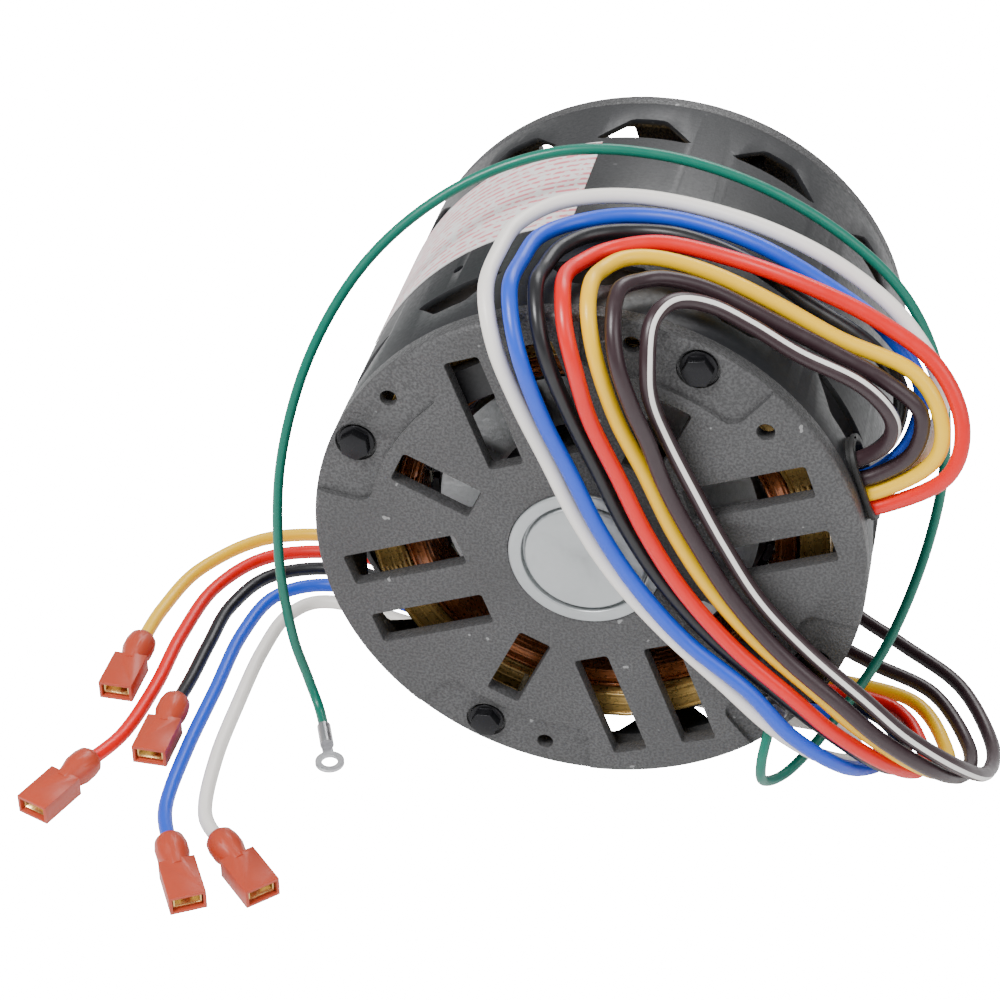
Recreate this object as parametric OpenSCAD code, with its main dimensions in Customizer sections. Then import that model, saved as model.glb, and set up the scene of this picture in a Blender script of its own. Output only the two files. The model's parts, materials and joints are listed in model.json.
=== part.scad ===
// Direct-drive blower motor, lying on its side with its leads looped over it.
// The motor axis runs along Y through the origin: -Y is the closed end, +Y is the shaft end, +Z is up.
// Turned parts are drawn about Z as seen from the closed end, and motor() stands them into the frame.

/* [Housing] */
// Outside diameter of the shell and the end shields
motor_d = 142; // [141:0.5:143]
// Length over the two end shields
motor_len = 120; // [119:0.5:122]
// Wall of the rolled steel shell
shell_wall = 1.5; // [1.2:0.1:1.7]
// Depth of an end shield's outer rim
shield_rim = 5.9; // [5:0.1:6.5]
// Thickness of an end shield's face
shield_plate = 4; // [3:0.5:4.5]
// Turn of the face pattern about the motor axis, in degrees
face_turn = 21.3; // [0:0.1:45]

/* [Openings] */
// Number of vents in each row of the shell
vent_count = 12; // [10:1:13]
// Turn of the vents, in degrees
vent_turn = 2.5; // [0:0.5:10]
// Width of a shield slot in a pair
slot_w = 9.3; // [8:0.1:10]
// Length of a shield slot in a pair
slot_len = 31.9; // [28:0.1:33]
// Bar between the two slots of a pair
slot_gap = 10; // [8:0.5:12]
// Length of a single shield slot
short_slot_len = 22; // [18:0.5:24]

/* [Fixings] */
// Radius of the circle that carries the through bolts and the tapped holes
bolt_circle_r = 64.7; // [64:0.1:65]
// Radius of a small hole in the face
small_hole_r = 2.2; // [1.8:0.1:2.5]
// Radius of a through bolt's shank
bolt_r = 2.1; // [1.8:0.1:2.2]

/* [Rotor and shaft] */
// Diameter of the shaft
shaft_d = 12.7; // [12.6:0.05:12.8]
// Length of shaft that stands out of the shaft end
shaft_out = 100; // [60:5:105]
// Height left across the shaft's flat
flat_height = 11.4; // [11.2:0.1:11.8]
// Depth of the groove that seats the oil slinger
slinger_groove = 0.4; // [0.3:0.05:0.6]
// Radial running clearance in the sleeve bearings
bearing_gap = 0.03; // [0.02:0.01:0.08]
// Length of the stator and rotor cores
core_len = 64; // [60:1:66]
// Air gap between the rotor and the stator
air_gap = 0.4; // [0.35:0.05:0.6]

/* [Leads] */
// Diameter of a power lead
lead_d = 4; // [3.6:0.1:4]
// Diameter of the ground lead
ground_d = 2.8; // [2.4:0.1:2.8]

/* [Hidden] */
$fn = 96;
eps = 0.01;

motor_r = motor_d / 2;
face_z = motor_len / 2;
rim_z = face_z - shield_rim;
shell_in_r = motor_r - shell_wall;
spigot_r = shell_in_r - 0.1;
spigot_wall = 3;
spigot_z = rim_z - 5;
edge_r = 2;

boss_r = 24;
boss_bore_r = 20;
boss_z = 34;
cover_r = 19.9;
web_t = 3;
web_bore_r = 8;

pad_in_r = 56.5;
pad_depth = 1.5;
pad_corner_r = 4;
pad_from = 30;
pad_to = 71;

slot_in_r = 30.8;
short_slot_in_r = 30.9;
short_slot_w = 9.1;
slot_corner_r = 1;

vent_far_z = 44.5;
vent_near_z = 33.7;
vent_long = 25.4;
vent_short = 8;

core_z = core_len / 2;
core_r = shell_in_r - 0.05;
core_bore_r = 44.5;
stator_slots = 36;
tooth_w = 4;
stator_slot_r = 59.5;
rotor_r = core_bore_r - air_gap;
ring_in_r = 28;
ring_out_r = 42;
ring_t = 8;
blade_h = 5;
blade_count = 10;

main_in_r = 53;
main_out_r = 60.8;
start_in_r = 46.5;
start_out_r = 52;
turn_z = 48.5;
pole_count = 6;

shaft_r = shaft_d / 2;
shaft_front_z = 51.5;
bearing_z0 = boss_z + web_t + 0.5;
bearing_z1 = 51;
bearing_out_r = 10.5;
slinger_z0 = face_z + 1.3;
slinger_z1 = face_z + 2.8;
flat_end_z = slinger_z1 - 0.2;

grommet_turn = 21;
grommet_z = 46.5;
grommet_flange = 1.8;
grommet_long = 20;
grommet_wide = 10;

lead_r = lead_d / 2;
ground_r = ground_d / 2;
tube_sides = 8;
rings_per_span = 2;

// Routes of the leads' centre lines. They lie in lanes: out of the grommet, over the top of the
// shell, down the face, round on the surface, and under the shell to the connectors.
route_white = [
    [61, -45, 19], [71, -45, 22], [81, -42, 32], [83, -35, 46], [73, -27, 59], [57, -20, 68],
    [38, -15, 74], [18, -12, 77], [0, -12, 78], [-15, -16, 77], [-24, -27, 76], [-26, -41, 76],
    [-26, -57, 74], [-22, -66, 64], [-16, -66, 48], [-9, -65, 32], [-1, -65, 15], [9, -65, -1],
    [22, -65, -16], [37, -66, -29], [51, -67, -41], [63, -60, -54], [72, -48, -65],
    [73, -35, -72.5], [66, -26, -73.5], [50, -24, -73.5], [31, -22, -73.5], [2, -18, -73.5],
    [-27, -12, -73.5], [-56, -6, -73.5], [-85, 0, -73.5], [-96, -8, -73.5], [-99, -26, -73.5],
    [-99, -50, -73.5], [-98, -74, -73.5], [-94, -96, -73], [-85, -108, -71]
];
route_blue = [
    [60, -45, 23], [69, -45, 26], [77, -42, 35], [78, -37, 48], [68, -31, 59], [53, -25, 66],
    [35, -21, 73], [17, -18, 76], [2, -18, 76], [-10, -22, 75], [-18, -31, 75], [-20, -43, 75],
    [-20, -58, 75], [-16, -68, 65], [-10, -69, 48], [-3, -68, 32], [5, -68, 15], [15, -68, -1],
    [28, -68, -16], [44, -69, -28], [56, -69, -41], [69, -63, -54], [77, -48, -66],
    [79, -34, -72.5], [71, -21, -73.5], [52, -19, -73.5], [31, -17, -73.5], [2, -12, -73.5],
    [-27, -5, -73.5], [-56, 1, -73.5], [-85, 8, -73.5], [-102, 0, -73.5], [-107, -20, -73.5],
    [-107, -46, -73.5], [-107, -72, -73.5], [-105, -96, -73], [-98, -112, -71]
];
route_black = [
    [57, -45, 27], [67, -45, 31], [73, -43, 38], [73, -40, 49], [64, -36, 58], [49, -31, 64],
    [33, -26, 71], [17, -24, 75], [4, -24, 75], [-6, -28, 75], [-12, -36, 75], [-14, -46, 75], [-14, -56, 76],
    [-12, -64, 71], [-9, -67, 62], [-4, -66, 48], [3, -65, 32], [11, -65, 15], [21, -65, -1],
    [34, -65, -16], [49, -65, -29], [62, -63, -41], [75, -58, -54], [83, -47, -66],
    [85, -32, -72.5], [75, -17, -73.5], [52, -14, -73.5], [31, -11, -73.5], [2, -5, -73.5],
    [-27, 2, -73.5], [-56, 8, -73.5], [-85, 16, -73.5], [-106, 9, -73.5], [-114, -8, -73.5],
    [-115, -26, -73.5], [-115, -44, -73], [-115, -58, -71]
];
route_red = [
    [62, -49, 17], [73, -49, 20], [87, -50, 31], [89, -46, 44], [81, -41, 57], [65, -36, 65],
    [46, -33, 71], [28, -30, 74], [12, -30, 76], [0, -34, 75], [-6, -42, 75], [-8, -50, 76], [-7, -59, 76],
    [-5, -66, 71], [-2, -69, 62], [2, -69, 48], [9, -68, 32], [17, -68, 15], [27, -68, -1],
    [40, -68, -16], [55, -68, -29], [67, -66, -41], [81, -60, -54], [89, -47, -66],
    [90, -31, -72.5], [80, -13, -73.5], [54, -9, -73.5], [31, -6, -73.5], [2, 1, -73.5],
    [-27, 9, -73.5], [-56, 16, -73.5], [-85, 24, -73.5], [-109, 18, -73.5], [-121, 0, -73.5],
    [-124, -24, -73.5], [-124, -48, -73.5], [-126, -70, -73], [-131, -86, -71]
];
route_yellow = [
    [61, -49, 21], [71, -49, 24], [83, -49, 34], [84, -47, 45], [76, -44, 56], [58, -41, 61],
    [42, -38, 67], [27, -36, 72], [14, -36, 75], [5, -39, 76], [0, -46, 76], [-1, -55, 77],
    [0, -63, 73], [3, -67, 63], [8, -66, 47], [15, -65, 32], [23, -65, 15], [33, -65, -1],
    [46, -65, -16], [61, -65, -29], [73, -63, -41], [87, -58, -54], [95, -46, -66],
    [96, -29, -72.5], [85, -9, -73.5], [58, -4, -73.5], [31, 0, -73.5], [2, 7, -73.5],
    [-27, 15, -73.5], [-56, 23, -73.5], [-85, 32, -73.5], [-112, 27, -73.5], [-128, 8, -73.5],
    [-133, -14, -73], [-133, -34, -71]
];
route_brown = [
    [59, -49, 25], [69, -49, 28], [78, -49, 36], [79, -48, 47], [70, -48, 55], [54, -45, 61],
    [40, -43, 66], [26, -43, 72], [16, -45, 75], [10, -49, 76], [6, -56, 77],
    [6, -64, 73], [8, -69, 65], [12, -70, 54], [16, -69, 44], [21, -68, 30], [29, -68, 15],
    [39, -68, -1], [52, -68, -16], [67, -68, -29], [79, -66, -41], [93, -60, -54],
    [101, -46, -66], [102, -27, -72.5],
    [91, -5, -73.5], [73, 5, -73.5], [56, 16, -73.5], [43, 32, -73.5], [32, 50, -73.5],
    [21, 68, -73.5], [10, 82, -73], [0, 94, -71]
];
route_brown_white = [
    [57, -49, 29], [66, -49, 33], [72, -51, 40], [72, -52, 48], [64, -52, 56], [49, -50, 61],
    [37, -49, 67], [27, -50, 72], [19, -55, 75],
    [15, -62, 73], [15, -67, 65], [16, -67, 55], [20, -65, 43],
    [27, -65, 29], [35, -65, 14], [45, -65, -2], [58, -65, -16], [73, -65, -29], [85, -63, -41],
    [99, -57, -54], [107, -44, -66], [108, -24, -72.5], [98, 0, -73.5], [81, 15, -73.5],
    [65, 28, -73.5], [53, 44, -73.5], [43, 60, -73.5], [33, 76, -73], [22, 92, -71]
];
route_green = [
    [50, -64, -45], [49, -67, -54], [50, -63, -63], [56, -52, -67], [66, -38, -59],
    [77, -22, -44], [84, -7, -23], [86, 2, 0], [82, 7, 24], [71, 8, 46], [53, 7, 63],
    [30, 5, 76], [5, 4, 82], [-20, 0, 82], [-45, -6, 72], [-66, -14, 54], [-80, -24, 30],
    [-87, -34, 2], [-87, -42, -25], [-84, -44, -50], [-80, -44, -66], [-76, -48, -73],
    [-72, -57, -73]
];

// ---- placing -------------------------------------------------------------------------------

module motor() rotate([90, 0, 0]) children();

module both_ends() {
    children();
    mirror([0, 0, 1]) children();
}

module around(count, start = 0) {
    for (i = [0 : count - 1]) rotate(start + i * 360 / count) children();
}

module ring(r0, r1, z0, z1) {
    translate([0, 0, z0]) difference() {
        cylinder(r = r1, h = z1 - z0);
        translate([0, 0, -1]) cylinder(r = r0, h = z1 - z0 + 2);
    }
}

// ---- outlines ------------------------------------------------------------------------------

function arc_points(c, r, a0, a1, n = 6) = [
    for (i = [0 : n]) c + r * [cos(a0 + (a1 - a0) * i / n), sin(a0 + (a1 - a0) * i / n)]
];

function rounded_box_points(x0, x1, y0, y1, r) = concat(
    arc_points([x1 - r, y0 + r], r, -90, 0),
    arc_points([x1 - r, y1 - r], r, 0, 90),
    arc_points([x0 + r, y1 - r], r, 90, 180),
    arc_points([x0 + r, y0 + r], r, 180, 270)
);

// A sector of a ring, open at the outside, with rounded inner corners.
function pad_points(r0, r1, a0, a1, rc) =
    let (ca = asin(rc / (r0 + rc)),
         c0 = (r0 + rc) * [cos(a0 + ca), sin(a0 + ca)],
         c1 = (r0 + rc) * [cos(a1 - ca), sin(a1 - ca)])
    concat(
        [r1 * [cos(a0), sin(a0)], r1 * 1.2 * [cos((a0 + a1) / 2), sin((a0 + a1) / 2)],
         r1 * [cos(a1), sin(a1)]],
        arc_points(c1, rc, a1 + 90, a1 + 180 - ca),
        arc_points([0, 0], r0, a1 - 2 * ca, a0 + 2 * ca, 10),
        arc_points(c0, rc, a0 + 180 + ca, a0 + 270)
    );

module slot_pair_2d() {
    for (s = [-1, 1]) translate([slot_in_r, s * (slot_gap + slot_w) / 2])
        polygon(rounded_box_points(0, slot_len, -slot_w / 2, slot_w / 2, slot_corner_r));
}

module short_slot_2d() {
    translate([short_slot_in_r, 0])
        polygon(rounded_box_points(0, short_slot_len, -short_slot_w / 2, short_slot_w / 2,
                                   slot_corner_r));
}

// ---- housing -------------------------------------------------------------------------------

module vent_cuts() {
    around(vent_count, vent_turn) both_ends() rotate([90, 0, 90])
        linear_extrude(motor_r + 5) polygon([
            [-vent_long / 2, vent_near_z + 0.8], [-vent_long / 2 + 1.4, vent_near_z],
            [vent_long / 2 - 1.4, vent_near_z], [vent_long / 2, vent_near_z + 0.8],
            [vent_short / 2 + 1, vent_far_z - 0.6], [vent_short / 2 - 0.4, vent_far_z],
            [-vent_short / 2 + 0.4, vent_far_z], [-vent_short / 2 - 1, vent_far_z - 0.6]
        ]);
}

module grommet_slot(grow, r0, r1) {
    rotate(grommet_turn) translate([r0, 0, grommet_z]) rotate([90, 0, 90])
        linear_extrude(r1 - r0) polygon(rounded_box_points(
            -grommet_long / 2 - grow, grommet_long / 2 + grow,
            -grommet_wide / 2 - grow, grommet_wide / 2 + grow, grommet_wide / 2 + grow - eps));
}

module shell() {
    color([0.16, 0.17, 0.18]) motor() difference() {
        ring(shell_in_r, motor_r, -rim_z + 0.05, rim_z - 0.05);
        vent_cuts();
        grommet_slot(1.2, 60, motor_r + 5);
        for (a = [46, 125, 226, 305]) rotate(a) translate([0, 0, 23]) rotate([0, 90, 0])
            cylinder(r = 1.5, h = motor_r + 5, $fn = 24);
    }
}

module nameplate_label() {
    color([0.82, 0.80, 0.79]) motor() rotate(101) rotate_extrude(angle = 56)
        translate([motor_r + 0.02, -31]) square([0.25, 46]);
}

// One end shield, its face towards +Z, with a pocket for the bearing in the middle.
module end_shield() {
    difference() {
        rotate_extrude($fn = 128) polygon(concat(
            [[web_bore_r, boss_z], [boss_r, boss_z],
             [boss_r, face_z - shield_plate], [spigot_r - spigot_wall, face_z - shield_plate],
             [spigot_r - spigot_wall, spigot_z], [spigot_r, spigot_z], [spigot_r, rim_z],
             [motor_r, rim_z]],
            arc_points([motor_r - edge_r, face_z - edge_r], edge_r, 0, 90),
            [[boss_bore_r, face_z], [boss_bore_r, boss_z + web_t],
             [web_bore_r, boss_z + web_t]]
        ));
        rotate(face_turn) {
            translate([0, 0, face_z - shield_plate - 1]) linear_extrude(shield_plate + 2) {
                around(4) slot_pair_2d();
                around(4, 45) short_slot_2d();
            }
            for (a = [pad_from, 180 - pad_to, 180 + pad_from, 360 - pad_to])
                translate([0, 0, face_z - pad_depth]) linear_extrude(5)
                    polygon(pad_points(pad_in_r, motor_r + 3, a, a + pad_to - pad_from,
                                       pad_corner_r));
            around(4, 45) translate([bolt_circle_r, 0, 0]) {
                cylinder(r = bolt_r + 0.3, h = motor_len, $fn = 32);
                translate([0, 0, face_z - pad_depth - 1.2]) cylinder(r = 5.4, h = 10);
            }
            for (a = [60, 120, 240, 300]) rotate(a) translate([bolt_circle_r, 0, 0])
                cylinder(r = small_hole_r, h = motor_len, $fn = 32);
            rotate(24.6) translate([62.1, 0, 0]) cylinder(r = 2.3, h = motor_len, $fn = 32);
        }
    }
}

module front_end_shield() {
    color([0.42, 0.42, 0.43]) motor() difference() {
        end_shield();
        rotate(grommet_turn) translate([60, -14, spigot_z - 1])
            cube([spigot_r - 59.95, 28, rim_z - spigot_z + 1]);
    }
}

module rear_end_shield() {
    color([0.40, 0.40, 0.41]) motor() mirror([0, 0, 1]) end_shield();
}

// Stamped cover: a flange, a sunk groove and a raised middle.
module cover_blank(hole_r) {
    rotate_extrude() polygon(concat(
        [[hole_r, face_z - 3], [cover_r - 0.1, face_z - 3], [cover_r - 0.1, face_z + 0.3],
         [cover_r - 0.5, face_z + 0.6], [16.6, face_z + 0.6], [16.4, face_z + 0.2],
         [16.4, face_z - 1.6], [15.6, face_z - 1.6]],
        arc_points([14.6, face_z - 0.4], 1, 0, 90),
        [[hole_r, face_z + 0.8]]
    ));
}

module front_bearing_cover() {
    color([0.75, 0.77, 0.78]) motor() cover_blank(0);
}

module rear_bearing_cover() {
    color([0.75, 0.77, 0.78]) motor() mirror([0, 0, 1]) cover_blank(web_bore_r);
}

// ---- bearings ------------------------------------------------------------------------------

module bearing() {
    ring(shaft_r + bearing_gap, bearing_out_r, bearing_z0, bearing_z1);
}

module front_bearing() {
    color([0.66, 0.47, 0.24]) motor() bearing();
}

module rear_bearing() {
    color([0.66, 0.47, 0.24]) motor() mirror([0, 0, 1]) bearing();
}

module oil_felt() {
    ring(bearing_out_r + 0.1, boss_bore_r - 0.2, bearing_z0, bearing_z1 - 2);
}

module front_oil_felt() {
    color([0.82, 0.78, 0.66]) motor() oil_felt();
}

module rear_oil_felt() {
    color([0.82, 0.78, 0.66]) motor() mirror([0, 0, 1]) oil_felt();
}

// Pressed steel washer with six fingers' worth of notches that holds the felt in.
module felt_retainer() {
    difference() {
        ring(bearing_out_r + 0.1, boss_bore_r - 0.1, bearing_z1 - 1.8, bearing_z1 - 0.8);
        around(6) translate([15.5, -1.5, bearing_z1 - 3]) cube([10, 3, 4]);
    }
}

module front_felt_retainer() {
    color([0.6, 0.6, 0.6]) motor() felt_retainer();
}

module rear_felt_retainer() {
    color([0.6, 0.6, 0.6]) motor() mirror([0, 0, 1]) felt_retainer();
}

// ---- stator --------------------------------------------------------------------------------

// One stator slot: a narrow mouth at the bore and a body that widens outwards.
module stator_slot_2d(gap = 0) {
    half0 = core_bore_r * sin(180 / stator_slots) - tooth_w / 2 - gap;
    half1 = stator_slot_r * sin(180 / stator_slots) - tooth_w / 2 - gap;
    polygon([[core_bore_r + 1.6 + gap, -half0], [stator_slot_r - gap, -half1],
             [stator_slot_r - gap, half1], [core_bore_r + 1.6 + gap, half0]]);
}

module stator_core() {
    color([0.30, 0.30, 0.32]) motor() translate([0, 0, -core_z]) linear_extrude(core_len)
        difference() {
            circle(r = core_r);
            circle(r = core_bore_r);
            around(stator_slots) {
                stator_slot_2d();
                translate([core_bore_r - 2, -1]) square([4, 2]);
            }
            rotate(face_turn) around(4, 45) translate([bolt_circle_r, 0])
                circle(r = bolt_r + 0.4, $fn = 32);
        }
}

// Folded film that lines each slot and stands a little out of the core at both ends.
module slot_liners() {
    color([0.85, 0.87, 0.80]) motor() translate([0, 0, -core_z - 1]) linear_extrude(core_len + 2)
        around(stator_slots) difference() {
            stator_slot_2d(0.08);
            stator_slot_2d(0.40);
        }
}

// Bars of wire inside the slots, from r0 to r1 of each slot.
module slot_fill(r0, r1) {
    translate([0, 0, -core_z - 1.5]) linear_extrude(core_len + 3) intersection() {
        around(stator_slots) stator_slot_2d(0.5);
        difference() {
            circle(r = r1);
            circle(r = r0);
        }
    }
}

// End turns of one winding at both ends: a bundle per pole with a small valley between poles.
module end_turns(r0, r1, z1, start) {
    both_ends() difference() {
        rotate_extrude() polygon(concat(
            [[r0, core_z + 1.2], [r1, core_z + 1.2]],
            arc_points([r1 - 2.5, z1 - 2.5], 2.5, 0, 90),
            arc_points([r0 + 2.5, z1 - 2.5], 2.5, 90, 180)
        ));
        around(pole_count, start) translate([r0 - 1, -1.5, z1 - 4]) cube([r1 - r0 + 2, 3, 6]);
    }
}

module main_winding() {
    color([0.62, 0.45, 0.20]) motor() {
        end_turns(main_in_r, main_out_r, turn_z, face_turn);
        slot_fill(main_in_r, stator_slot_r);
    }
}

module start_winding() {
    color([0.55, 0.32, 0.14]) motor() {
        end_turns(start_in_r, start_out_r, turn_z - 2, face_turn + 30);
        slot_fill(core_bore_r, start_out_r - 0.2);
    }
}

// Cord ties over the end turns, between the poles' valleys.
module winding_lacing() {
    color([0.85, 0.80, 0.66]) motor() both_ends() around(18, face_turn + 10)
        translate([0, -0.6, 0]) difference() {
            translate([main_in_r - 0.3, 0, turn_z - 4])
                cube([main_out_r - main_in_r + 0.9, 1.2, 4.9]);
            translate([main_in_r - 1, -1, turn_z - 5])
                cube([main_out_r - main_in_r + 1.2, 4, 5.1]);
        }
}

// Oval overload protector strapped to the front end turns.
module thermal_protector() {
    color([0.12, 0.12, 0.13]) motor() rotate(face_turn + 100)
        translate([main_in_r - 4, -9, turn_z + 1]) cube([9, 18, 4]);
}

// ---- fixings -------------------------------------------------------------------------------

module hex(across, h) {
    cylinder(d = across / cos(30), h = h, $fn = 6);
}

bolt_seat_z = face_z - pad_depth - 1.2;

module through_bolts() {
    color([0.08, 0.08, 0.09]) motor() rotate(face_turn) around(4, 45)
        translate([bolt_circle_r, 0, 0]) {
            translate([0, 0, -face_z - 3]) cylinder(r = bolt_r, h = bolt_seat_z + face_z + 3.5,
                                                    $fn = 32);
            translate([0, 0, bolt_seat_z]) cylinder(r = 4.6, h = 0.9, $fn = 48);
            translate([0, 0, bolt_seat_z + 0.5]) hex(6.9, 3.2);
        }
}

module through_bolt_nuts() {
    color([0.55, 0.55, 0.56]) motor() rotate(face_turn) around(4, 45)
        translate([bolt_circle_r, 0, -bolt_seat_z - 3.2]) difference() {
            hex(8.7, 3.2);
            translate([0, 0, -1]) cylinder(r = bolt_r + 0.02, h = 6, $fn = 32);
        }
}

module ground_screw() {
    color([0.5, 0.5, 0.5]) motor() rotate(face_turn + 300)
        translate([bolt_circle_r, 0, face_z - pad_depth]) {
            translate([0, 0, -8]) cylinder(r = small_hole_r - 0.1, h = 9, $fn = 32);
            translate([0, 0, 1.5]) hex(6.3, 2.6);
            translate([0, 0, 0.9]) cylinder(r = 4, h = 0.7, $fn = 48);
        }
}

// Rubber bushing in the shell, open in the middle for the leads.
module lead_grommet() {
    color([0.05, 0.05, 0.05]) motor() difference() {
        union() {
            grommet_slot(1.1, shell_in_r - 2.6, motor_r + 1.6);
            grommet_slot(grommet_flange, motor_r + 0.35, motor_r + 1.6);
            grommet_slot(grommet_flange, shell_in_r - 2.6, shell_in_r - 1.4);
        }
        grommet_slot(0, 55, motor_r + 10);
    }
}

// ---- rotor ---------------------------------------------------------------------------------

module shaft() {
    color([0.78, 0.78, 0.78]) motor() difference() {
        union() {
            translate([0, 0, -face_z - shaft_out + 1])
                cylinder(r = shaft_r, h = shaft_front_z + face_z + shaft_out - 1.5);
            translate([0, 0, -face_z - shaft_out])
                cylinder(r1 = shaft_r - 1, r2 = shaft_r, h = 1);
            translate([0, 0, shaft_front_z - 0.5])
                cylinder(r1 = shaft_r, r2 = shaft_r - 0.5, h = 0.5);
        }
        translate([-10, flat_height - shaft_r, -face_z - shaft_out - 1])
            cube([20, 10, shaft_out + face_z + 1 - flat_end_z]);
        ring(shaft_r - slinger_groove, shaft_r + 1, -slinger_z1, -slinger_z0);
    }
}

module rotor_core() {
    color([0.36, 0.36, 0.38]) motor() ring(shaft_r + 0.01, rotor_r, -core_z, core_z);
}

// Cast end rings with cooling blades.
module rotor_cage() {
    color([0.72, 0.73, 0.74]) motor() both_ends() {
        ring(ring_in_r, ring_out_r, core_z, core_z + ring_t);
        around(blade_count, 9) translate([ring_in_r + 1.5, -1.2, core_z + ring_t - eps])
            cube([ring_out_r - ring_in_r - 3, 2.4, blade_h]);
    }
}

module thrust_washers() {
    color([0.70, 0.62, 0.45]) motor() both_ends() {
        ring(shaft_r + 0.05, 10.5, core_z + 0.05, core_z + 0.85);
        ring(shaft_r + 0.05, 10.5, core_z + 0.9, core_z + 1.7);
    }
}

module oil_slinger() {
    color([0.10, 0.10, 0.10]) motor() mirror([0, 0, 1])
        ring(shaft_r - slinger_groove + 0.02, 11, slinger_z0 + 0.02, slinger_z1 - 0.02);
}

// ---- leads ---------------------------------------------------------------------------------

function spline_point(p, i, t) =
    let (a = p[max(i - 1, 0)], b = p[i], c = p[i + 1], d = p[min(i + 2, len(p) - 1)])
    0.5 * (2 * b + (c - a) * t + (2 * a - 5 * b + 4 * c - d) * t * t
           + (3 * b - a - 3 * c + d) * t * t * t);

function spline(p, n) = concat(
    [for (i = [0 : len(p) - 2]) for (k = [0 : n - 1]) spline_point(p, i, k / n)],
    [p[len(p) - 1]]
);

function unit(v) = v / norm(v);

function across(n, t) = unit(n - (n * t) * t);

// A tube of radius r along a route, with its normals carried along so that it doesn't twist.
module tube(route, r) {
    c = spline(route, rings_per_span);
    last = len(c) - 1;
    t = [for (i = [0 : last]) unit(c[min(i + 1, last)] - c[max(i - 1, 0)])];
    normals = [for (i = 0, v = across([0.3, 0.5, 0.8], t[0]); i <= last;
                    i = i + 1, v = across(v, t[min(i, last)])) v];
    points = [for (i = [0 : last]) for (k = [0 : tube_sides - 1])
        let (a = 360 * k / tube_sides)
        c[i] + r * (cos(a) * normals[i] + sin(a) * cross(t[i], normals[i]))];
    sides = [for (i = [0 : last - 1]) for (k = [0 : tube_sides - 1])
        let (a = i * tube_sides + k, b = i * tube_sides + (k + 1) % tube_sides)
        each [[a, a + tube_sides, b], [b, a + tube_sides, b + tube_sides]]];
    near = [for (k = [1 : tube_sides - 2]) [0, k, k + 1]];
    far = [for (k = [1 : tube_sides - 2])
        let (a = last * tube_sides) [a, a + k + 1, a + k]];
    polyhedron(points = points, faces = concat(sides, near, far));
}

module lead_black() color([0.04, 0.04, 0.05]) tube(route_black, lead_r);
module lead_blue() color([0.05, 0.16, 0.62]) tube(route_blue, lead_r);
module lead_red() color([0.80, 0.04, 0.05]) tube(route_red, lead_r);
module lead_yellow() color([0.92, 0.70, 0.03]) tube(route_yellow, lead_r);
module lead_white() color([0.90, 0.86, 0.80]) tube(route_white, lead_r);
module lead_brown() color([0.20, 0.12, 0.13]) tube(route_brown, lead_r);
module lead_brown_white() color([0.24, 0.16, 0.17]) tube(route_brown_white, lead_r);
module lead_green() color([0.02, 0.42, 0.32]) tube(route_green, ground_r);

// ---- terminals -----------------------------------------------------------------------------

// Puts a terminal drawn along +X on the end of a route, turned about Z.
module on_end(route, turn) translate(route[len(route) - 1]) rotate([0, 0, turn]) children();

module box_along(x0, x1, wide, high) translate([x0, -wide / 2, -high / 2])
    cube([x1 - x0, wide, high]);

// Moulded insulator: a round bulb over the crimp and a flat open housing.
module sleeve() {
    difference() {
        union() {
            rotate([0, 90, 0]) rotate_extrude($fn = 48) polygon([
                [0, -3], [3.2, -3], [4, -2], [4.4, 0], [4.4, 3], [3.6, 6], [3.1, 9], [0, 9]
            ]);
            box_along(7.5, 21.5, 9.6, 5.6);
        }
        translate([-4, 0, 0]) rotate([0, 90, 0]) cylinder(r = lead_r + 0.05, h = 14, $fn = 32);
        box_along(9, 22.5, 8, 4);
    }
}

// Push-on receptacle: a crimp barrel and a flat socket with a slot along its top.
module receptacle() {
    difference() {
        union() {
            translate([0.3, 0, 0]) rotate([0, 90, 0]) cylinder(r = 1.8, h = 9.5, $fn = 32);
            box_along(9.3, 20.5, 7.4, 3.2);
        }
        box_along(10.3, 22, 6.4, 2.2);
        translate([10.3, -0.8, 0]) cube([12, 1.6, 3]);
    }
}

module sleeve_node(route, turn) color([0.86, 0.45, 0.36]) on_end(route, turn) sleeve();
module receptacle_node(route, turn) color([0.80, 0.65, 0.35]) on_end(route, turn) receptacle();

module ring_terminal() {
    color([0.78, 0.78, 0.80]) on_end(route_green, -68) difference() {
        union() {
            translate([-2, 0, 0]) rotate([0, 90, 0]) cylinder(r = 1.5 + 0.4, h = 8, $fn = 32);
            translate([5.5, -1.5, -1.3]) cube([5, 3, 0.9]);
            translate([12, 0, -1.3]) cylinder(r = 4, h = 0.9);
        }
        translate([-3, 0, 0]) rotate([0, 90, 0]) cylinder(r = ground_r + 0.05, h = 7, $fn = 32);
        translate([12, 0, -3]) cylinder(r = 2.2, h = 5, $fn = 48);
    }
}

// How far each connector is turned about Z.
module sleeve_black() sleeve_node(route_black, -90);
module receptacle_black() receptacle_node(route_black, -90);
module sleeve_blue() sleeve_node(route_blue, -60);
module receptacle_blue() receptacle_node(route_blue, -60);
module sleeve_red() sleeve_node(route_red, -110);
module receptacle_red() receptacle_node(route_red, -110);
module sleeve_yellow() sleeve_node(route_yellow, -90);
module receptacle_yellow() receptacle_node(route_yellow, -90);
module sleeve_white() sleeve_node(route_white, -45);
module receptacle_white() receptacle_node(route_white, -45);
module sleeve_brown() sleeve_node(route_brown, 120);
module receptacle_brown() receptacle_node(route_brown, 120);
module sleeve_brown_white() sleeve_node(route_brown_white, 118);
module receptacle_brown_white() receptacle_node(route_brown_white, 118);

// ---- what is drawn -------------------------------------------------------------------------

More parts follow.
